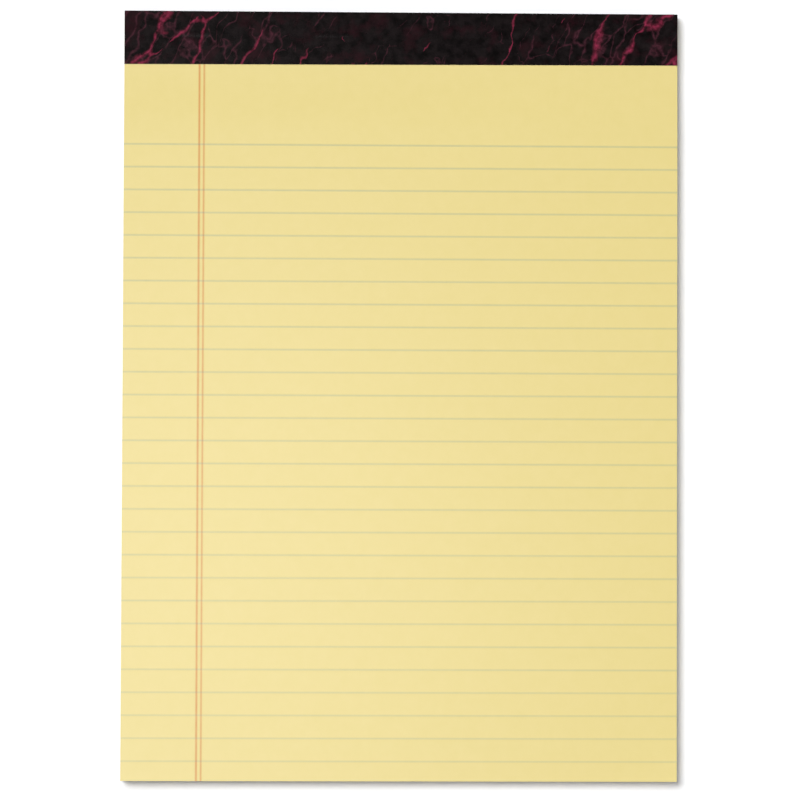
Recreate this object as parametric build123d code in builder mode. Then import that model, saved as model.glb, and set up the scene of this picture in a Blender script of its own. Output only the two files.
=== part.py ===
from build123d import *
import math
import os

# A ruled pad that lies on its back, writing side up, in millimetres.
# X runs across the pad, +Y points to the bound head, +Z is up.
# The origin is the middle of the footprint, on the surface that the pad lies on.

# Whole pad
pad_width = 215.9
pad_length = 299.4

# Sheets: pressed flat at the bound head, looser and so a little higher below it
sheet_count = 50
sheet_caliper = 0.097
sheet_loft = 0.5
rise_from_strip = 1.0
rise_to_rule = 4.0

# Perforation, hidden just under the edge of the strip
slit_length = 1.5
slit_width = 0.2
slit_tie = 0.5
slit_cover = 0.3

# Backing board
board_thickness = 1.5

# Binding strip, laid on a little askew, so that its front flap is deeper at the left
strip_thickness = 0.18
strip_front_left = 20.97
strip_front_right = 20.11
strip_back = 20.5
fold_radius = 0.4

# Staples of flat wire, through sheets and board, with their tips clinched at the back
wire_width = 0.7
wire_thickness = 0.5
wire_inner_bend = 0.1
wire_clearance = 0.03
crown_length = 12.7
tip_gap = 3.7
staple_count = 4
staple_pitch = 54.0
staple_from_head = 9.0

# Print: films of ink that lie on the top sheet
ink_film = 0.02
rule_width = 0.4
rule_pitch = 8.87
first_rule_from_head = 52.2
foot_margin = 7.5
margin_from_left = 29.3
margin_line_gap = 1.81
outer_margin_width = 0.42
inner_margin_width = 0.32

# Levels, from the strip's back flap up
board_bottom = strip_thickness
board_top = board_bottom + board_thickness
land_top = board_top + sheet_count * sheet_caliper
page_top = land_top + sheet_loft

# Places along the pad
head_y = pad_length / 2
foot_y = -pad_length / 2
bound_edge_y = head_y - strip_thickness
strip_deepest = max(strip_front_left, strip_front_right)
strip_shallowest = min(strip_front_left, strip_front_right)
strip_edge_y = head_y - strip_deepest
perforation_y = head_y - strip_shallowest + slit_cover
staple_y = head_y - staple_from_head
first_rule_y = head_y - first_rule_from_head
rise_low_y = strip_edge_y - rise_from_strip
rise_high_y = first_rule_y + rise_to_rule

# Places across the pad
left_x = -pad_width / 2
outer_margin_x = left_x + margin_from_left
inner_margin_x = outer_margin_x + margin_line_gap

# Staple, its crown flush with the bound sheets and its tips flush with the board's back
leg_x = crown_length / 2
tip_x = tip_gap / 2
outer_bend = wire_inner_bend + wire_thickness
staple_plane = Plane(origin=(0, staple_y, 0), x_dir=(1, 0, 0), z_dir=(0, -1, 0))


def page_line(lift):
    """The sheets' top line in side view, from the foot to the strip's edge, raised by lift."""
    loose = Line((foot_y, page_top + lift), (rise_high_y, page_top + lift))
    half_way = ((rise_high_y + rise_low_y) / 2, (page_top + land_top) / 2 + lift)
    crest = TangentArc(loose @ 1, half_way, tangent=loose % 1)
    trough = TangentArc(crest @ 1, (rise_low_y, land_top + lift), tangent=crest % 1)
    land = Line(trough @ 1, (strip_edge_y, land_top + lift))
    return loose @ 0, land @ 1


def staple_outline():
    """One staple seen from the foot: crown, two legs, and tips clinched towards each other."""
    outer_face = FilletPolyline(
        (-tip_x, board_bottom),
        (-leg_x, board_bottom),
        (-leg_x, land_top),
        (leg_x, land_top),
        (leg_x, board_bottom),
        (tip_x, board_bottom),
        radius=outer_bend,
    )
    offset(outer_face, amount=wire_thickness, side=Side.RIGHT)


# One staple
with BuildPart() as staple:
    with BuildSketch(staple_plane):
        with BuildLine():
            staple_outline()
        make_face()
    extrude(amount=wire_width / 2, both=True)

# The room that a staple takes up: pierced holes, and grooves where crown and tips press in
with BuildPart() as staple_room:
    with BuildSketch(staple_plane):
        with BuildLine():
            staple_outline()
        make_face()
        offset(amount=wire_clearance, kind=Kind.INTERSECTION)
    extrude(amount=wire_width / 2 + wire_clearance, both=True)

# Staples, a row of separate wires along the head
with BuildPart() as staples:
    with GridLocations(staple_pitch, 0, staple_count, 1):
        add(staple.part)
staples.part.label = "staples"

# Backing board, its head edge rounded where the strip folds over it
with BuildPart() as backing_board:
    with BuildSketch(Plane.YZ) as board_section:
        with Locations((foot_y, board_bottom)):
            Rectangle(bound_edge_y - foot_y, board_thickness, align=Align.MIN)
        fillet(board_section.vertices().group_by(Axis.Y)[0].sort_by(Axis.X)[-1], fold_radius)
    extrude(amount=pad_width / 2, both=True)
    with GridLocations(staple_pitch, 0, staple_count, 1):
        add(staple_room.part, mode=Mode.SUBTRACT)
backing_board.part.label = "backing_board"

# Sheets, one block: pressed land at the head, a gentle rise, then the loose level
with BuildPart() as sheets:
    with BuildSketch(Plane.YZ) as sheets_section:
        with BuildLine():
            foot_corner, land_edge = page_line(0)
            Polyline(
                land_edge,
                (bound_edge_y, land_top),
                (bound_edge_y, board_top),
                (foot_y, board_top),
                foot_corner,
            )
        make_face()
        fillet(sheets_section.vertices().group_by(Axis.X)[-1].sort_by(Axis.Y)[-1], fold_radius)
    extrude(amount=pad_width / 2, both=True)
    with GridLocations(staple_pitch, 0, staple_count, 1):
        add(staple_room.part, mode=Mode.SUBTRACT)
    slit_pitch = slit_length + slit_tie
    slit_count = math.floor((pad_width - slit_tie) / slit_pitch)
    with BuildSketch(Plane.XY.offset(board_top)):
        with Locations((0, perforation_y)):
            with GridLocations(slit_pitch, 0, slit_count, 1):
                Rectangle(slit_length, slit_width)
    extrude(amount=land_top - board_top, mode=Mode.SUBTRACT)
sheets.part.label = "sheets"

# Binding strip: one tape folded over the head, with its front edge trimmed askew
with BuildPart() as binding_strip:
    with BuildSketch(Plane.YZ):
        with BuildLine():
            inner_face = FilletPolyline(
                (head_y - strip_back, board_bottom),
                (bound_edge_y, board_bottom),
                (bound_edge_y, land_top),
                (strip_edge_y, land_top),
                radius=fold_radius,
            )
            offset(inner_face, amount=strip_thickness, side=Side.RIGHT)
        make_face()
    extrude(amount=pad_width / 2, both=True)
    with BuildSketch(Plane.XY.offset(land_top)):
        with BuildLine():
            Polyline(
                (left_x, strip_edge_y - strip_thickness),
                (left_x, head_y - strip_front_left),
                (-left_x, head_y - strip_front_right),
                (-left_x, strip_edge_y - strip_thickness),
                close=True,
            )
        make_face()
    extrude(amount=strip_thickness, mode=Mode.SUBTRACT)
binding_strip.part.label = "binding_strip"

# Margin lines, which follow the sheets from the foot up to the strip
with BuildPart() as margin_lines:
    for line_x, line_width in ((outer_margin_x, outer_margin_width), (inner_margin_x, inner_margin_width)):
        with BuildSketch(Plane.YZ.offset(line_x)):
            with BuildLine():
                low_start, low_end = page_line(0)
                high_start, high_end = page_line(ink_film)
                Line(low_start, high_start)
                Line(low_end, high_end)
            make_face()
        extrude(amount=line_width / 2, both=True)
margin_lines.part.label = "margin_lines"

# Blue rules, edge to edge, as many as the page takes, broken where the margin lines cross
with BuildPart() as blue_rules:
    rule_gaps = math.floor((first_rule_y - foot_y - foot_margin) / rule_pitch)
    with BuildSketch(Plane.XY.offset(page_top)):
        with Locations((0, first_rule_y - rule_gaps * rule_pitch / 2)):
            with GridLocations(0, rule_pitch, 1, rule_gaps + 1):
                Rectangle(pad_width, rule_width)
    extrude(amount=ink_film)
    add(margin_lines.part, mode=Mode.SUBTRACT)
blue_rules.part.label = "blue_rules"

os.makedirs("parts", exist_ok=True)
for piece in (backing_board, sheets, staples, binding_strip, blue_rules, margin_lines):
    export_step(piece.part, f"parts/{piece.part.label}.step")
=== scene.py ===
import bpy
import numpy as np
from mathutils import Matrix, Vector


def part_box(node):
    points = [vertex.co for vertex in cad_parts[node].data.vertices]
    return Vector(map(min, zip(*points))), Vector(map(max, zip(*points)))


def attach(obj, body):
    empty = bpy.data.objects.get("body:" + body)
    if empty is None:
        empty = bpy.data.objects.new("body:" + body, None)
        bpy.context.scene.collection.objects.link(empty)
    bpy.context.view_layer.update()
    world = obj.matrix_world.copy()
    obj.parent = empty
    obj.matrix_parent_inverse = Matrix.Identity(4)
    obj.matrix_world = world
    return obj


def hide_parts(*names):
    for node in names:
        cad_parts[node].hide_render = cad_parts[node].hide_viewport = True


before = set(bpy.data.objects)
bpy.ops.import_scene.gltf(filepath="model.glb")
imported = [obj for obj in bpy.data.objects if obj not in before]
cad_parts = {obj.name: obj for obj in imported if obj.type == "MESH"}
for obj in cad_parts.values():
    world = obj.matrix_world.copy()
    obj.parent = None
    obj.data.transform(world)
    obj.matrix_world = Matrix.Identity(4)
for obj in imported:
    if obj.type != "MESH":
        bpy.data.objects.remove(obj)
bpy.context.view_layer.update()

# Backing board: stiff grey chipboard, pressed from recycled paper fibre and cut by the
# guillotine together with the pages. The solid already has its true form, with the staple
# holes and the rounded head edge, so it only gets its finish here.
board_low, board_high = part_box("backing_board")
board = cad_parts["backing_board"]


def linear(hex_colour):
    """An sRGB hex colour as linear red, green, blue and alpha: the standard sRGB curve."""
    channels = np.array([int(hex_colour[i:i + 2], 16) for i in (1, 3, 5)]) / 255
    curved = np.where(channels <= 0.04045, channels / 12.92, ((channels + 0.055) / 1.055) ** 2.4)
    return (*curved.tolist(), 1.0)


def add(tree, kind, links=None, **settings):
    """Adds one shader node. Settings are the node's own; links sets each named or numbered
    input, from another node's socket where one is given, or else to a plain value."""
    made = tree.nodes.new("ShaderNode" + kind)
    for key, value in settings.items():
        setattr(made, key, value)
    for key, value in (links or {}).items():
        if isinstance(value, bpy.types.NodeSocket):
            tree.links.new(value, made.inputs[key])
        else:
            made.inputs[key].default_value = value
    return made


def start_material(name):
    """A new material's node tree, emptied, with its Object coordinates and its output."""
    material = bpy.data.materials.new(name)
    material.use_nodes = True
    tree = material.node_tree
    tree.nodes.clear()
    place = add(tree, "TexCoord").outputs["Object"]
    output = add(tree, "OutputMaterial").inputs["Surface"]
    return material, tree, place, output


def per_metre(size_mm):
    """Texture scale for a pattern whose features are this many millimetres across."""
    return 1000.0 / size_mm


def chipboard():
    """Uncoated chipboard: matt, grey-brown, clouded, with dark and pale flecks of old print
    and fibre, which show as a fine salt-and-pepper grain at arm's length. The flecks and the
    grain are drawn coarser than the finest real ones, so that they show."""
    material, tree, place, output = start_material("recycled grey chipboard")
    clouds = add(tree, "TexNoise", {"Vector": place, "Scale": per_metre(14), "Detail": 5.0})
    body = add(tree, "ValToRGB", {"Fac": clouds.outputs["Fac"]})
    for stop, (share, tone) in zip(body.color_ramp.elements, ((0.34, "#8A7E6C"), (0.68, "#A2967F"))):
        stop.position = share
        stop.color = linear(tone)
    stretch = add(tree, "Mapping", {"Vector": place, "Scale": (1.0, 0.35, 1.0)})
    fibres = add(
        tree,
        "TexNoise",
        {"Vector": stretch.outputs[0], "Scale": per_metre(0.9), "Detail": 3.0},
    )
    colour = body.outputs[0]
    for bare, full, fleck in ((0.60, 0.74, "#5E5448"), (0.38, 0.26, "#BDB39E")):
        share = add(
            tree,
            "MapRange",
            {"Value": fibres.outputs["Fac"], "From Min": bare, "From Max": full},
        )
        colour = add(
            tree,
            "Mix",
            {"Factor": share.outputs[0], 6: colour, 7: linear(fleck)},
            data_type="RGBA",
        ).outputs[2]
    grain = add(tree, "TexNoise", {"Vector": place, "Scale": per_metre(0.5), "Detail": 4.0})
    relief = add(tree, "Bump", {"Strength": 0.35, "Distance": 0.00006, "Height": grain.outputs["Fac"]})
    surface = add(
        tree,
        "BsdfPrincipled",
        {
            "Base Color": colour,
            "Roughness": 0.9,
            "Specular IOR Level": 0.25,
            "Normal": relief.outputs[0],
        },
    )
    tree.links.new(surface.outputs[0], output)
    return material


board.data.materials.clear()
board.data.materials.append(chipboard())

# Page block: every sheet but the top one, uncoated canary writing paper cut to size in one
# stack. The guillotine leaves each sheet's edge a hair in or out of line with the next, so
# the cut faces show as fine strata; below the strip the stack fluffs up by the loft.
sheets_low, sheets_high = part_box("sheets")
strip_low, strip_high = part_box("binding_strip")
rules_low, rules_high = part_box("blue_rules")
sheet_count = 50
strip_thickness = board_low.z
fold_relief = 0.0003
land_top = strip_high.z - strip_thickness
loft = sheets_high.z - land_top
pad_half = sheets_high.x
foot_y = sheets_low.y
bound_y = sheets_high.y - fold_relief
rise_below_strip = 0.001
rise_above_rules = 0.0038
rise_low_y = strip_low.y - rise_below_strip
rise_high_y = rules_high.y + rise_above_rules
ripple_height = 0.000035
ripple_reach = 0.12
# Each wave of the ripple: radians a metre along x and along y, its start, and its share.
ripple_waves = ((34, 21, 0.6, 1.0), (-27, 45, 2.1, 0.7))
edge_inset = 0.00012
sheet_scatter = 0.000018
bundle_size = 4
bundle_scatter = 0.000045
edge_wave = 0.000014
edge_turn_x = 52
edge_turn_y = 38
scatter_limit = 0.0001
groove_depth = 0.00004
# Where a sheet's groove, lower edge and upper edge lie in its share of the stack.
ring_levels = np.array([0.0, 0.16, 0.9])


def page_height(x, y):
    """Height of the top page: level at the bound head, then a rise of one loft made of two
    parabolas, hollow then crowned, then level again with a faint ripple of two crossing sine
    waves, a few hundredths of a millimetre, that grows with the distance from the rise."""
    along = np.clip((rise_low_y - y) / (rise_low_y - rise_high_y), 0, 1)
    rise = np.where(along < 0.5, 2 * along**2, 1 - 2 * (1 - along) ** 2)
    free = np.clip((rise_high_y - y) / ripple_reach, 0, 1)
    ripple = sum(
        share * np.sin(turn_x * x + turn_y * y + start)
        for turn_x, turn_y, start, share in ripple_waves
    )
    return land_top + loft * rise + ripple_height * free * ripple


def outline(rows, columns):
    """Indices of a grid's outer points, in turn, anticlockwise from its first corner."""
    index = np.arange(rows * columns).reshape(rows, columns)
    return np.concatenate([index[0, :-1], index[:-1, -1], index[-1, :0:-1], index[:0:-1, 0]])


def mesh_piece(name, points, *faces):
    """An object at the origin whose mesh has these points and these arrays of faces."""
    mesh = bpy.data.meshes.new(name)
    mesh.from_pydata(points.tolist(), [], [face for group in faces for face in group.tolist()])
    mesh.update()
    piece = bpy.data.objects.new(name, mesh)
    bpy.context.scene.collection.objects.link(piece)
    return piece


def closed_stack(name, top, bottom, rings):
    """A closed mesh: a top grid and a bottom grid of points, joined by a wall of rings that
    follow the grids' outline from the top down, as a profile carried round a path."""
    rows, columns = top.shape[:2]
    edge = outline(rows, columns)
    grid_size = rows * columns
    points = np.concatenate([top.reshape(-1, 3), bottom.reshape(-1, 3), rings.reshape(-1, 3)])
    index = np.arange(grid_size).reshape(rows, columns)
    upper = np.stack([index[:-1, :-1], index[:-1, 1:], index[1:, 1:], index[1:, :-1]], -1).reshape(-1, 4)
    lower = upper[:, ::-1] + grid_size
    inner = 2 * grid_size + np.arange(rings.shape[0] * len(edge)).reshape(-1, len(edge))
    levels = np.concatenate([edge[None], inner, edge[None] + grid_size])
    ahead = np.roll(levels, -1, axis=1)
    wall = np.stack([levels[:-1], levels[1:], ahead[1:], ahead[:-1]], -1).reshape(-1, 4)
    return mesh_piece(name, points, upper, lower, wall)


def page_grid(columns, rows, inset):
    """Plan of a sheet as a grid of x and y, drawn in from the three free edges by inset."""
    x = np.linspace(-pad_half + inset, pad_half - inset, columns)
    y = np.linspace(foot_y + inset, bound_y, rows)
    return np.meshgrid(x, y)


def sheet_level(x, y, share):
    """Height of the stack at a share of its thickness, from the board to the top page."""
    return board_high.z + (page_height(x, y) - board_high.z) * share


def page_block():
    """All sheets below the top one. The wall has three rings a sheet: a groove between two
    sheets, then the sheet's lower and upper edge, each set in or out by its own small amount,
    a slow wave along the edge, and a shared amount for each bundle of a few sheets."""
    chance = np.random.default_rng(seed=11)
    sheets = sheet_count - 1
    x, y = page_grid(columns=37, rows=61, inset=edge_inset)
    edge = outline(*x.shape)
    edge_x, edge_y = x.ravel()[edge], y.ravel()[edge]
    away_x = np.where(np.isclose(np.abs(edge_x), np.abs(x).max()), np.sign(edge_x), 0)
    away_y = np.where(np.isclose(edge_y, y.min()), -1.0, 0)
    own = chance.normal(0, sheet_scatter, sheets)
    bundles = chance.normal(0, bundle_scatter, sheets // bundle_size + 1)
    shared = np.repeat(bundles, bundle_size)[:sheets]
    swing = chance.uniform(0, 2 * np.pi, sheets)[:, None]
    wave = edge_wave * np.sin(edge_turn_x * edge_x[None] + edge_turn_y * edge_y[None] + swing)
    ridge = np.clip((own + shared)[:, None] + wave, -scatter_limit, scatter_limit)
    groove = ridge - groove_depth
    offset = np.stack([groove, ridge, ridge], 1).reshape(-1, len(edge))[1:]
    share = (np.arange(sheets)[:, None] + ring_levels).reshape(-1)[1:] / sheet_count
    rings = np.stack(
        [
            edge_x + away_x * offset,
            edge_y + away_y * offset,
            sheet_level(edge_x[None], edge_y[None], share[:, None]),
        ],
        -1,
    )[::-1]
    top = np.stack([x, y, sheet_level(x, y, sheets / sheet_count)], -1)
    bottom = np.stack([x, y, np.full_like(x, board_high.z)], -1)
    piece = closed_stack("page_block", top, bottom, rings)
    tone = np.repeat(chance.uniform(0, 1, sheets), len(ring_levels))[1:][::-1]
    tones = np.concatenate([np.full(2 * x.size, 0.5), np.repeat(tone, len(edge))])
    piece.data.attributes.new("sheet_tone", "FLOAT", "POINT").data.foreach_set("value", tones)
    return piece


def cut_paper():
    """Cut edges of yellow-dyed paper: matt and a shade deeper than the sheet's face, because
    light is caught between the sheets; each sheet keeps its own slight tone."""
    material, tree, place, output = start_material("cut edges of canary paper")
    sheet = add(tree, "Attribute", attribute_name="sheet_tone")
    along = add(tree, "Mapping", {"Vector": place, "Scale": (1.0, 1.0, 8.0)})
    fray = add(tree, "TexNoise", {"Vector": along.outputs[0], "Scale": per_metre(2.5), "Detail": 4.0})
    shade = add(tree, "Math", {0: sheet.outputs["Fac"], 1: fray.outputs["Fac"]}, operation="ADD")
    tone = add(tree, "MapRange", {"Value": shade.outputs[0], "From Min": 0.3, "From Max": 1.7})
    colour = add(
        tree,
        "Mix",
        {"Factor": tone.outputs[0], 6: linear("#D3BC70"), 7: linear("#F0DF9C")},
        data_type="RGBA",
    )
    surface = add(
        tree,
        "BsdfPrincipled",
        {"Base Color": colour.outputs[2], "Roughness": 0.85, "Specular IOR Level": 0.3},
    )
    tree.links.new(surface.outputs[0], output)
    return material


block = page_block()
block.data.materials.append(cut_paper())
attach(block, "root")
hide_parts("sheets")

# Top sheet: one leaf of the same canary paper, machine-finished and so faintly smooth. It is
# held at the head by the staples and the strip, and lifts a little at its two loose corners.
corner_lift = 0.00025
corner_reach = 0.03
leaf_inset = 0.00003
# The paper's own share of the height that one sheet takes up; the rest is air under it.
leaf_share = 0.96


def leaf_height(x, y):
    """Height of the top leaf: the top page, plus a lift that grows with the square of how far
    a point lies into a loose corner, measured along the diagonal."""
    into = np.clip(1 - (pad_half - np.abs(x) + y - foot_y) / corner_reach, 0, 1)
    return page_height(x, y) + corner_lift * into**2


def top_leaf():
    """The top sheet as a thin closed leaf: two grids one sheet apart, joined by their edge."""
    x, y = page_grid(columns=73, rows=141, inset=leaf_inset)
    thickness = leaf_share * (page_height(x, y) - board_high.z) / sheet_count
    above = leaf_height(x, y)
    top = np.stack([x, y, above], -1)
    bottom = np.stack([x, y, above - thickness], -1)
    return closed_stack("top_sheet", top, bottom, np.empty((0, 0, 3)))


def paper_tone(tree, place):
    """Colour of the sheet's face: canary yellow with the faint clouds of felted fibre."""
    clouds = add(
        tree,
        "TexNoise",
        {"Vector": place, "Scale": per_metre(5), "Detail": 5.0, "Roughness": 0.6},
    )
    tone = add(tree, "MapRange", {"Value": clouds.outputs["Fac"], "From Min": 0.25, "From Max": 0.75})
    return add(
        tree,
        "Mix",
        {"Factor": tone.outputs[0], 6: linear("#E8D68B"), 7: linear("#EAD88F")},
        data_type="RGBA",
    ).outputs[2]


def smooth_face(tree, place, colour, output):
    """Calendered writing paper over a given colour: a soft sheen on a matt body, and a fine
    tooth, drawn coarser than the real one, that only shows close up."""
    tooth = add(tree, "TexNoise", {"Vector": place, "Scale": per_metre(0.35), "Detail": 3.0})
    relief = add(tree, "Bump", {"Strength": 0.1, "Distance": 0.00001, "Height": tooth.outputs["Fac"]})
    surface = add(
        tree,
        "BsdfPrincipled",
        {
            "Base Color": colour,
            "Roughness": 0.37,
            "Specular IOR Level": 0.5,
            "Normal": relief.outputs[0],
        },
    )
    tree.links.new(surface.outputs[0], output)


def canary_paper():
    """Writing paper dyed canary yellow: to the eye a clean, even, pale yellow."""
    material, tree, place, output = start_material("canary writing paper")
    smooth_face(tree, place, paper_tone(tree, place), output)
    return material


leaf = top_leaf()
leaf.data.materials.append(canary_paper())
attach(leaf, "root")
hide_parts("sheets")

# Blue rules: thin lines of pale blue ink, printed from edge to edge on the top leaf. The yellow
# shows through the ink, and the ink feathers a little into the fibres.
rule_count = 28
rule_width = 0.0004
rule_feather = 0.0004
rule_film = 0.00001
rule_steps = 73
film_root = 0.00001
film_skirt = 0.0002
film_points = 11
print_inset = 0.00004
head_cover = 0.31
foot_cover = 0.205
rule_half = rule_width / 2 + rule_feather
rule_y = np.linspace(rules_high.y - rule_width / 2, rules_low.y + rule_width / 2, rule_count)


def ink_films(name, centre, half_width, run, height, across_x):
    """Ink films as one mesh: each line's section is carried along its run, following the leaf.
    The section is level where there is ink, and beyond it a bare skirt dips under the leaf's
    face, so that no edge stands up. centre and half_width hold one value a line. Gives the
    piece, and its points' x and y by line, step and place in the section."""
    inked = half_width[:, None] * np.linspace(1, -1, film_points)
    rim = half_width[:, None] + film_skirt
    section = centre[:, None] + np.concatenate([-rim, rim, rim, inked, -rim], axis=1)
    level = np.array([-2 * film_root] * 2 + [-film_root] + [height] * film_points + [-film_root])
    shape = (len(centre), len(run), len(level))
    side = np.broadcast_to(section[:, None], shape)
    step = np.broadcast_to(run[None, :, None], shape)
    x, y = (side, step) if across_x else (step, side)
    points = np.stack([x, y, leaf_height(x, y) + level], -1)
    index = np.arange(side.size).reshape(shape)
    ahead = np.roll(index, -1, axis=2)
    skin = np.stack([index[:, :-1], index[:, 1:], ahead[:, 1:], ahead[:, :-1]], -1).reshape(-1, 4)
    ends = np.concatenate([index[:, 0], index[:, -1, ::-1]])
    turn = 1 if across_x else -1
    return mesh_piece(name, points.reshape(-1, 3), skin[:, ::turn], ends[:, ::turn]), x, y


def ink_share(distance, half_width):
    """Share of ink at a distance from a line's middle: (1 - u * u) squared, where u is that
    distance over the line's half width, and none beyond it."""
    return np.clip(1 - (distance / half_width) ** 2, 0, 1) ** 2


def blue_share(y):
    """Share of blue ink at each y, from the nearest rule."""
    return ink_share(np.abs(y[..., None] - rule_y).min(-1), rule_half)


def lay_ink(piece, share_name, share):
    """Stores on each point of a piece how much of one ink it carries."""
    piece.data.attributes.new(share_name, "FLOAT", "POINT").data.foreach_set("value", share.ravel())


def printed_ink(name):
    """Printing ink soaked into the paper's face: red that nearly covers, and over it a blue so
    thin that it only tints. Both fade into the bare sheet at a line's edges and are a little
    uneven along it, and the blue is weaker towards the foot."""
    material, tree, place, output = start_material(name)
    uneven = add(tree, "TexNoise", {"Vector": place, "Scale": per_metre(3), "Detail": 3.0})
    take = add(
        tree,
        "MapRange",
        {"Value": uneven.outputs["Fac"], "From Min": 0.3, "From Max": 0.7, "To Min": 0.85},
    )
    down = add(tree, "SeparateXYZ", {"Vector": place})
    blue_cover = add(
        tree,
        "MapRange",
        {
            "Value": down.outputs["Y"],
            "From Min": foot_y,
            "From Max": rules_high.y,
            "To Min": foot_cover,
            "To Max": head_cover,
        },
    )
    colour = paper_tone(tree, place)
    for share_name, ink, cover in (
        ("red_share", "#D27B26", 1.0),
        ("blue_share", "#4F8C92", blue_cover.outputs[0]),
    ):
        share = add(tree, "Attribute", attribute_name=share_name)
        even = add(tree, "Math", {0: share.outputs["Fac"], 1: take.outputs[0]}, operation="MULTIPLY")
        laid = add(tree, "Math", {0: even.outputs[0], 1: cover}, operation="MULTIPLY")
        colour = add(
            tree,
            "Mix",
            {"Factor": laid.outputs[0], 6: colour, 7: linear(ink)},
            data_type="RGBA",
        ).outputs[2]
    smooth_face(tree, place, colour, output)
    return material


rule_run = np.linspace(-pad_half + print_inset, pad_half - print_inset, rule_steps)
rules, _, rules_point_y = ink_films(
    "blue_rules_print", rule_y, np.full(rule_count, rule_half), rule_run, rule_film, across_x=False
)
lay_ink(rules, "blue_share", blue_share(rules_point_y))
rules.data.materials.append(printed_ink("pale blue ruling ink"))
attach(rules, "root")
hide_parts("blue_rules")

# Margin lines: a double line of red ink, printed from under the strip to the foot, the outer
# line a touch heavier than the inner one. The rules cross them and darken them there.
lines_low, lines_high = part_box("margin_lines")
outer_width = 0.00042
inner_width = 0.00032
margin_feather = 0.00042
margin_film = 0.000014
margin_tuck = 0.0005
margin_steps = 141
margin_strength = np.array([0.8, 0.68])
margin_half = np.array([outer_width, inner_width]) / 2 + margin_feather
margin_x = np.array([lines_low.x + outer_width / 2, lines_high.x - inner_width / 2])
margin_top = lines_high.y + margin_tuck
crossings = (rule_y[:, None] + rule_half * np.linspace(-1, 1, film_points)).ravel()
plain_run = np.linspace(lines_low.y + print_inset, margin_top, margin_steps)
margin_run = np.union1d(plain_run, crossings)

margins, margins_point_x, margins_point_y = ink_films(
    "margin_lines_print", margin_x, margin_half, margin_run, margin_film, across_x=True
)
off_middle = np.abs(margins_point_x - margin_x[:, None, None])
red_share = margin_strength[:, None, None] * ink_share(off_middle, margin_half[:, None, None])
lay_ink(margins, "red_share", red_share)
lay_ink(margins, "blue_share", blue_share(margins_point_y))
margins.data.materials.append(printed_ink("red margin ink"))
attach(margins, "root")
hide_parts("margin_lines")

# Staples: flat galvanised wire, driven through sheets and board and clinched at the back.
# They lie wholly under the strip, so the solids only get their metal.
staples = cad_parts["staples"]


def galvanised_wire():
    """Zinc-coated steel wire: grey metal, half dulled, with a slight mottle."""
    material, tree, place, output = start_material("galvanised steel wire")
    spangle = add(tree, "TexNoise", {"Vector": place, "Scale": per_metre(1.2), "Detail": 2.0})
    dull = add(tree, "MapRange", {"Value": spangle.outputs["Fac"], "To Min": 0.34, "To Max": 0.5})
    surface = add(
        tree,
        "BsdfPrincipled",
        {"Base Color": linear("#B4B6B8"), "Metallic": 1.0, "Roughness": dull.outputs[0]},
    )
    tree.links.new(surface.outputs[0], output)
    return material


staples.data.materials.clear()
staples.data.materials.append(galvanised_wire())

# Binding strip: one length of paper tape, printed near-black with crimson marbling and then
# varnished. It is glued over the head, folded hard over both corners and trimmed flush at the
# sides; the staples' crowns underneath raise it by a hair.
strip_front_left = 0.02097
strip_front_right = 0.02011
strip_back = 0.0205
fold_radius = 0.0004
tape_columns = 289
fold_steps = 9
head_steps = 12
# Where along a flap the tape is drawn, as shares of its way, closer where the crowns lie.
flap_shares = np.concatenate(
    [np.linspace(0, 0.42, 8), np.linspace(0.47, 0.68, 20), np.linspace(0.72, 1, 8)]
)
staple_low, staple_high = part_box("staples")
staple_y = (staple_low.y + staple_high.y) / 2
staple_count = 4
staple_pitch = 0.054
staple_x = staple_pitch * (np.arange(staple_count) - (staple_count - 1) / 2)
crown_half = 0.00635
# The ridge over a crown: its height, how far past the crown's end it dies away, how far short
# of that end it is full, and its half width at the foot and at the crest.
ridge_height = 0.00002
ridge_past_end = 0.0008
ridge_before_end = 0.0004
ridge_foot = 0.0014
ridge_crest = 0.0001
# How far along the endless printed web this length of tape was cut.
print_start = 0.31


def ease(value, low, high):
    """Smooth step from 0 at low to 1 at high."""
    share = np.clip((value - low) / (high - low), 0, 1)
    return share * share * (3 - 2 * share)


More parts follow.
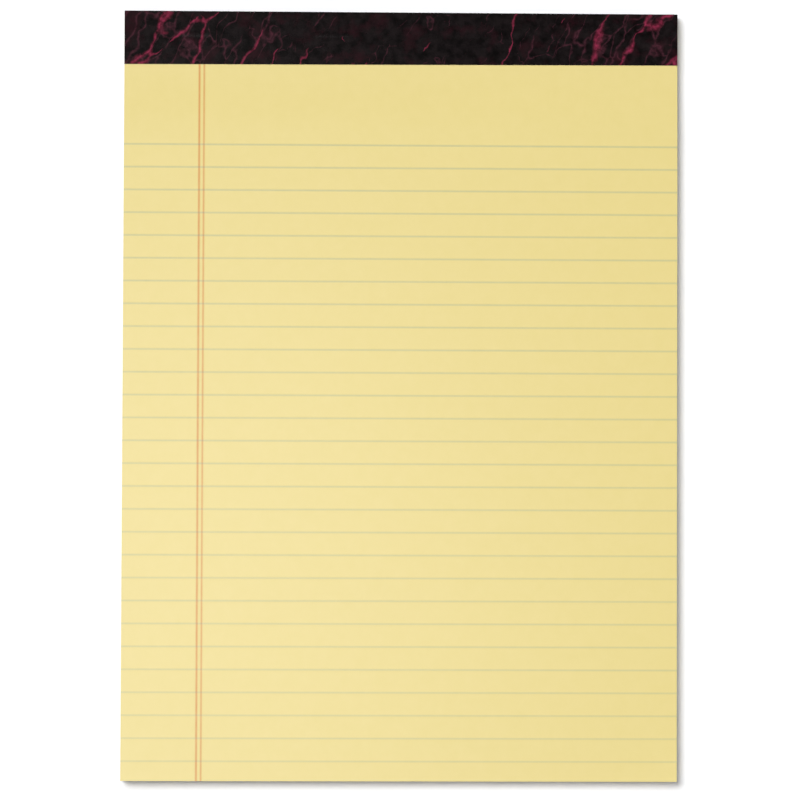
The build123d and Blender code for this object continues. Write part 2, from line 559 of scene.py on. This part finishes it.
def binding_strip():
    """The tape as a profile carried across the pad. The profile follows the inner face: front
    flap, fold, head, fold, back flap; the outer face lies one thickness out along the normal,
    with a soft ridge over each staple's crown. flat_place is where a point of the tape lay
    before it was folded, x across and the way along the outer face; cut_face is 1 where the
    print stops, on the cut edges and the glued side."""
    x = np.linspace(-pad_half, pad_half, tape_columns)
    head = strip_high.y - strip_thickness
    fold_y = head - fold_radius
    front_edge = strip_high.y - np.interp(x, (x[0], x[-1]), (strip_front_left, strip_front_right))
    turn = np.linspace(np.pi / 2, 0, fold_steps)[1:-1]
    upright = np.linspace(land_top - fold_radius, board_low.z + fold_radius, head_steps)
    back_y = fold_y + (strip_high.y - strip_back - fold_y) * flap_shares
    front_y = front_edge[None] + (fold_y - front_edge[None]) * flap_shares[:, None]
    bend_y = fold_y + fold_radius * np.cos(turn)
    bend_z = fold_radius * np.sin(turn) - fold_radius
    rest_y = np.concatenate([bend_y, np.full_like(upright, head), bend_y[::-1], back_y])
    inner_y = np.concatenate([front_y, np.repeat(rest_y[:, None], tape_columns, axis=1)])
    inner_z = np.concatenate(
        [
            np.full_like(flap_shares, land_top),
            land_top + bend_z,
            upright,
            board_low.z - bend_z[::-1],
            np.full_like(back_y, board_low.z),
        ]
    )[:, None]
    normal = np.concatenate(
        [
            np.full_like(flap_shares, np.pi / 2),
            turn,
            np.zeros_like(upright),
            -turn[::-1],
            np.full_like(back_y, -np.pi / 2),
        ]
    )[:, None]
    beside = np.abs(x[:, None] - staple_x).min(-1)
    over_crown = ease(-beside, -crown_half - ridge_past_end, -crown_half + ridge_before_end)
    ridge = ease(-np.abs(inner_y - staple_y), -ridge_foot, -ridge_crest) * over_crown
    thickness = strip_thickness + ridge_height * ridge * np.isclose(normal, np.pi / 2)
    across = np.broadcast_to(x, inner_y.shape)
    outer_y = inner_y + thickness * np.cos(normal)
    outer_z = inner_z + thickness * np.sin(normal)
    outer = np.stack([across, outer_y, outer_z], -1)
    inner = np.stack([across, inner_y, np.broadcast_to(inner_z, inner_y.shape)], -1)
    loop = np.concatenate([outer, inner[::-1]])
    index = np.arange(loop.shape[0] * tape_columns).reshape(-1, tape_columns)
    ahead = np.roll(index, -1, axis=0)
    skin = np.stack([index[:, :-1], index[:, 1:], ahead[:, 1:], ahead[:, :-1]], -1).reshape(-1, 4)
    rows = len(inner)
    out, back_in = index[:rows], index[rows:][::-1]
    left = np.stack([out[:-1, 0], out[1:, 0], back_in[1:, 0], back_in[:-1, 0]], -1)
    right = np.stack([back_in[:-1, -1], back_in[1:, -1], out[1:, -1], out[:-1, -1]], -1)
    piece = mesh_piece("binding_strip_tape", loop.reshape(-1, 3), skin, left, right)
    steps = np.linalg.norm(np.diff(outer, axis=0), axis=-1)
    along = outer[:1, :, 1] + np.concatenate([np.zeros((1, tape_columns)), np.cumsum(steps, axis=0)])
    flat = np.stack([across, along, np.zeros_like(along)], -1)
    flat_place = piece.data.attributes.new("flat_place", "FLOAT_VECTOR", "POINT")
    flat_place.data.foreach_set("vector", np.concatenate([flat, flat[::-1]]).ravel())
    printed_faces = (rows - 1) * (tape_columns - 1)
    cut = np.arange(len(piece.data.polygons)) >= printed_faces
    piece.data.attributes.new("cut_face", "FLOAT", "FACE").data.foreach_set("value", cut.astype(float))
    return piece


def marbled_tape():
    """Paper tape printed with a generic dark marble under gloss varnish: charcoal clouds and a
    maroon haze on near-black, a web of thin dull veins, and a few crimson veins that run steeply
    aslant, swell, pale and die away, most of them towards the tape's ends. Cut edges show the
    grey core of the paper, and its fibre lifts the varnish a little, drawn coarse enough to show."""
    plain_half = 0.04
    crowded_half = 0.1
    crowded_gain = 0.24
    vein_slant = np.radians(62)
    vein_stretch = 3.6
    vein_sway = 0.006
    material, tree, _, output = start_material("varnished marbled tape")
    tape = add(tree, "Attribute", attribute_name="flat_place").outputs["Vector"]
    flat = add(tree, "Mapping", {"Vector": tape, "Location": (print_start, 0.0, 0.0)}).outputs[0]
    across = add(tree, "SeparateXYZ", {"Vector": tape}).outputs["X"]
    from_middle = add(tree, "Math", {0: across}, operation="ABSOLUTE")
    crowd = add(
        tree,
        "MapRange",
        {
            "Value": from_middle.outputs[0],
            "From Min": plain_half,
            "From Max": crowded_half,
            "To Max": crowded_gain,
        },
    )
    slant = add(
        tree,
        "Mapping",
        {"Vector": flat, "Rotation": (0.0, 0.0, vein_slant), "Scale": (vein_stretch, 1.0, 1.0)},
        vector_type="TEXTURE",
    )
    sway = add(
        tree,
        "TexNoise",
        {"Vector": flat, "Scale": per_metre(9), "Detail": 2.5, "Roughness": 0.5},
    )
    bent = add(
        tree,
        "VectorMath",
        {0: sway.outputs["Color"], 1: (vein_sway, vein_sway, vein_sway), 2: slant.outputs[0]},
        operation="MULTIPLY_ADD",
    )

    def cloud(size_mm, detail, low, high):
        """A noise of this size, spread so that low gives 0 and high gives 1."""
        noise = add(
            tree,
            "TexNoise",
            {"Vector": flat, "Scale": per_metre(size_mm), "Detail": detail, "Roughness": 0.62},
        )
        return add(
            tree,
            "MapRange",
            {"Value": noise.outputs["Fac"], "From Min": low, "From Max": high},
        ).outputs[0]

    def veins(cell_mm, reach_mm, widest_mm, start):
        """Share of veins along the borders of slanted cells. A noise of its own makes their width
        swell from a hair at start to the widest, sooner towards the tape's ends, and another
        breaks their tone."""
        swell_span = 0.25
        hair = 0.0001
        fade = 1.5
        cells = add(
            tree,
            "TexVoronoi",
            {"Vector": bent.outputs[0], "Scale": per_metre(cell_mm)},
            feature="DISTANCE_TO_EDGE",
        )
        swell = add(tree, "TexNoise", {"Vector": flat, "Scale": per_metre(reach_mm), "Detail": 3.0})
        crowded = add(tree, "Math", {0: swell.outputs["Fac"], 1: crowd.outputs[0]}, operation="ADD")
        width = add(
            tree,
            "MapRange",
            {
                "Value": crowded.outputs[0],
                "From Min": start,
                "From Max": start + swell_span,
                "To Min": hair,
                "To Max": widest_mm / cell_mm / 2,
            },
        )
        vein = add(
            tree,
            "MapRange",
            {"Value": cells.outputs["Distance"], "From Min": width.outputs[0], "From Max": 0.0},
        )
        soft = add(tree, "Math", {0: vein.outputs[0], 1: fade}, operation="POWER")
        broken = cloud(size_mm=2, detail=5.0, low=0.3, high=0.66)
        return add(tree, "Math", {0: soft.outputs[0], 1: broken}, operation="MULTIPLY").outputs[0]

    colour = linear("#090707")
    for share, print_colour in (
        (cloud(size_mm=4, detail=8.0, low=0.36, high=0.74), "#211B1C"),
        (cloud(size_mm=10, detail=5.0, low=0.5, high=0.85), "#32131B"),
        (veins(cell_mm=5.5, reach_mm=11, widest_mm=1.3, start=0.52), "#4E2833"),
        (veins(cell_mm=15, reach_mm=18, widest_mm=2.5, start=0.55), "#9A304E"),
        (add(tree, "Attribute", attribute_name="cut_face").outputs["Fac"], "#8C847C"),
    ):
        colour = add(
            tree,
            "Mix",
            {"Factor": share, 6: colour, 7: linear(print_colour)},
            data_type="RGBA",
        ).outputs[2]
    fibre = add(tree, "TexNoise", {"Vector": flat, "Scale": per_metre(0.8), "Detail": 3.0})
    relief = add(tree, "Bump", {"Strength": 0.05, "Distance": 0.00001, "Height": fibre.outputs["Fac"]})
    surface = add(
        tree,
        "BsdfPrincipled",
        {
            "Base Color": colour,
            "Roughness": 0.14,
            "Specular IOR Level": 0.25,
            "Normal": relief.outputs[0],
        },
    )
    tree.links.new(surface.outputs[0], output)
    return material


strip = binding_strip()
strip.data.materials.append(marbled_tape())
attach(strip, "root")
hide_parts("binding_strip")

# Studio floor: a plain sheet of matt white backdrop paper, laid flat under the pad. It takes
# the pad's shadow.
floor_half = 6.0
floor_glow = 0.13


def white_sweep():
    """Matt white backdrop paper, with a faint glow to the eye so that it stays white."""
    material, tree, _, output = start_material("white studio floor")
    body = add(tree, "BsdfDiffuse", {"Color": linear("#F5F6F9")})
    ray = add(tree, "LightPath")
    seen = ray.outputs["Is Camera Ray"]
    for way in ("Is Glossy Ray", "Is Transmission Ray"):
        seen = add(tree, "Math", {0: seen, 1: ray.outputs[way]}, operation="MAXIMUM").outputs[0]
    strength = add(tree, "Math", {0: seen, 1: floor_glow}, operation="MULTIPLY")
    glow = add(tree, "Emission", {"Strength": strength.outputs[0]})
    both = add(tree, "AddShader", {0: body.outputs[0], 1: glow.outputs[0]})
    tree.links.new(both.outputs[0], output)
    return material


corners = np.array([[-1, -1, 0], [1, -1, 0], [1, 1, 0], [-1, 1, 0]]) * floor_half
floor = mesh_piece("studio_floor", corners, np.array([[0, 1, 2, 3]]))
floor.data.materials.append(white_sweep())

# Studio light: a room with pale walls, dark overhead and near the floor, a broad soft key high
# at the upper left that throws the short shadow, and a soft box nearly overhead, a little to
# the left, that is there for its sheen alone.
key_place = (-1.0, 0.93, 2.8)
key_energy = 2.87
key_angle = np.radians(28)
sheen_place = (-0.143, -0.08, 1.124)
sheen_energy = 4.5
sheen_size = 0.4
# The room's brightness at three heights: each is the sine of the angle above the horizon,
# then the level there.
room_levels = ((0.18, 0.14), (0.5, 0.4), (0.92, 0.05))
pad_middle = Vector((0.0, 0.0, sheets_high.z))

world = bpy.data.worlds.new("studio room")
world.use_nodes = True
room = world.node_tree
ray_way = add(room, "TexCoord").outputs["Generated"]
ray_height = add(room, "SeparateXYZ", {"Vector": ray_way}).outputs["Z"]
room_tone = add(room, "ValToRGB", {"Fac": ray_height})
room_tone.color_ramp.elements.new(0.5)
for stop, (height, level) in zip(room_tone.color_ramp.elements, room_levels):
    stop.position = height
    stop.color = (level, level, level, 1.0)
room.links.new(room_tone.outputs[0], room.nodes["Background"].inputs["Color"])
bpy.context.scene.world = world


def lamp(name, kind, place, **settings):
    """A lamp of this kind at place, turned to the middle of the pad."""
    light = bpy.data.lights.new(name, kind)
    for key, value in settings.items():
        setattr(light, key, value)
    made = bpy.data.objects.new(name, light)
    made.location = place
    made.rotation_euler = (pad_middle - Vector(place)).to_track_quat("-Z", "Y").to_euler()
    bpy.context.scene.collection.objects.link(made)
    return made


key_lamp = lamp("key", "SUN", key_place, energy=key_energy, angle=key_angle)
key_lamp.visible_glossy = False
sheen_lamp = lamp("sheen", "AREA", sheen_place, energy=sheen_energy, size=sheen_size)
sheen_lamp.visible_diffuse = False

# Camera: a long lens almost straight above the pad, standing a little to its lower left and
# rolled by a fifth of a degree, as the photograph's converging edges show.
camera_distance = 1.5
lean_right = np.radians(1.693)
lean_up = np.radians(1.892)
roll = np.radians(0.2)
camera_lens = 173.55
sensor_width = 36.0
aim_x = -0.000133
aim_y = -0.001725
aim = Vector((aim_x, aim_y, sheets_high.z))
sight = Vector((np.sin(lean_right), np.sin(lean_up), 0))
sight.z = -np.sqrt(1 - sight.length_squared)
camera_back = -sight
camera_right = Vector((-np.sin(roll), np.cos(roll), 0)).cross(camera_back).normalized()
camera_up = camera_back.cross(camera_right)
camera_turn = Matrix((camera_right, camera_up, camera_back)).transposed()
camera_data = bpy.data.cameras.new("overhead_camera")
camera_data.lens = camera_lens
camera_data.sensor_width = sensor_width
camera = bpy.data.objects.new("overhead_camera", camera_data)
camera.matrix_world = Matrix.Translation(aim - sight * camera_distance) @ camera_turn.to_4x4()
bpy.context.scene.collection.objects.link(camera)
bpy.context.scene.camera = camera
bpy.context.scene.view_settings.view_transform = "Standard"
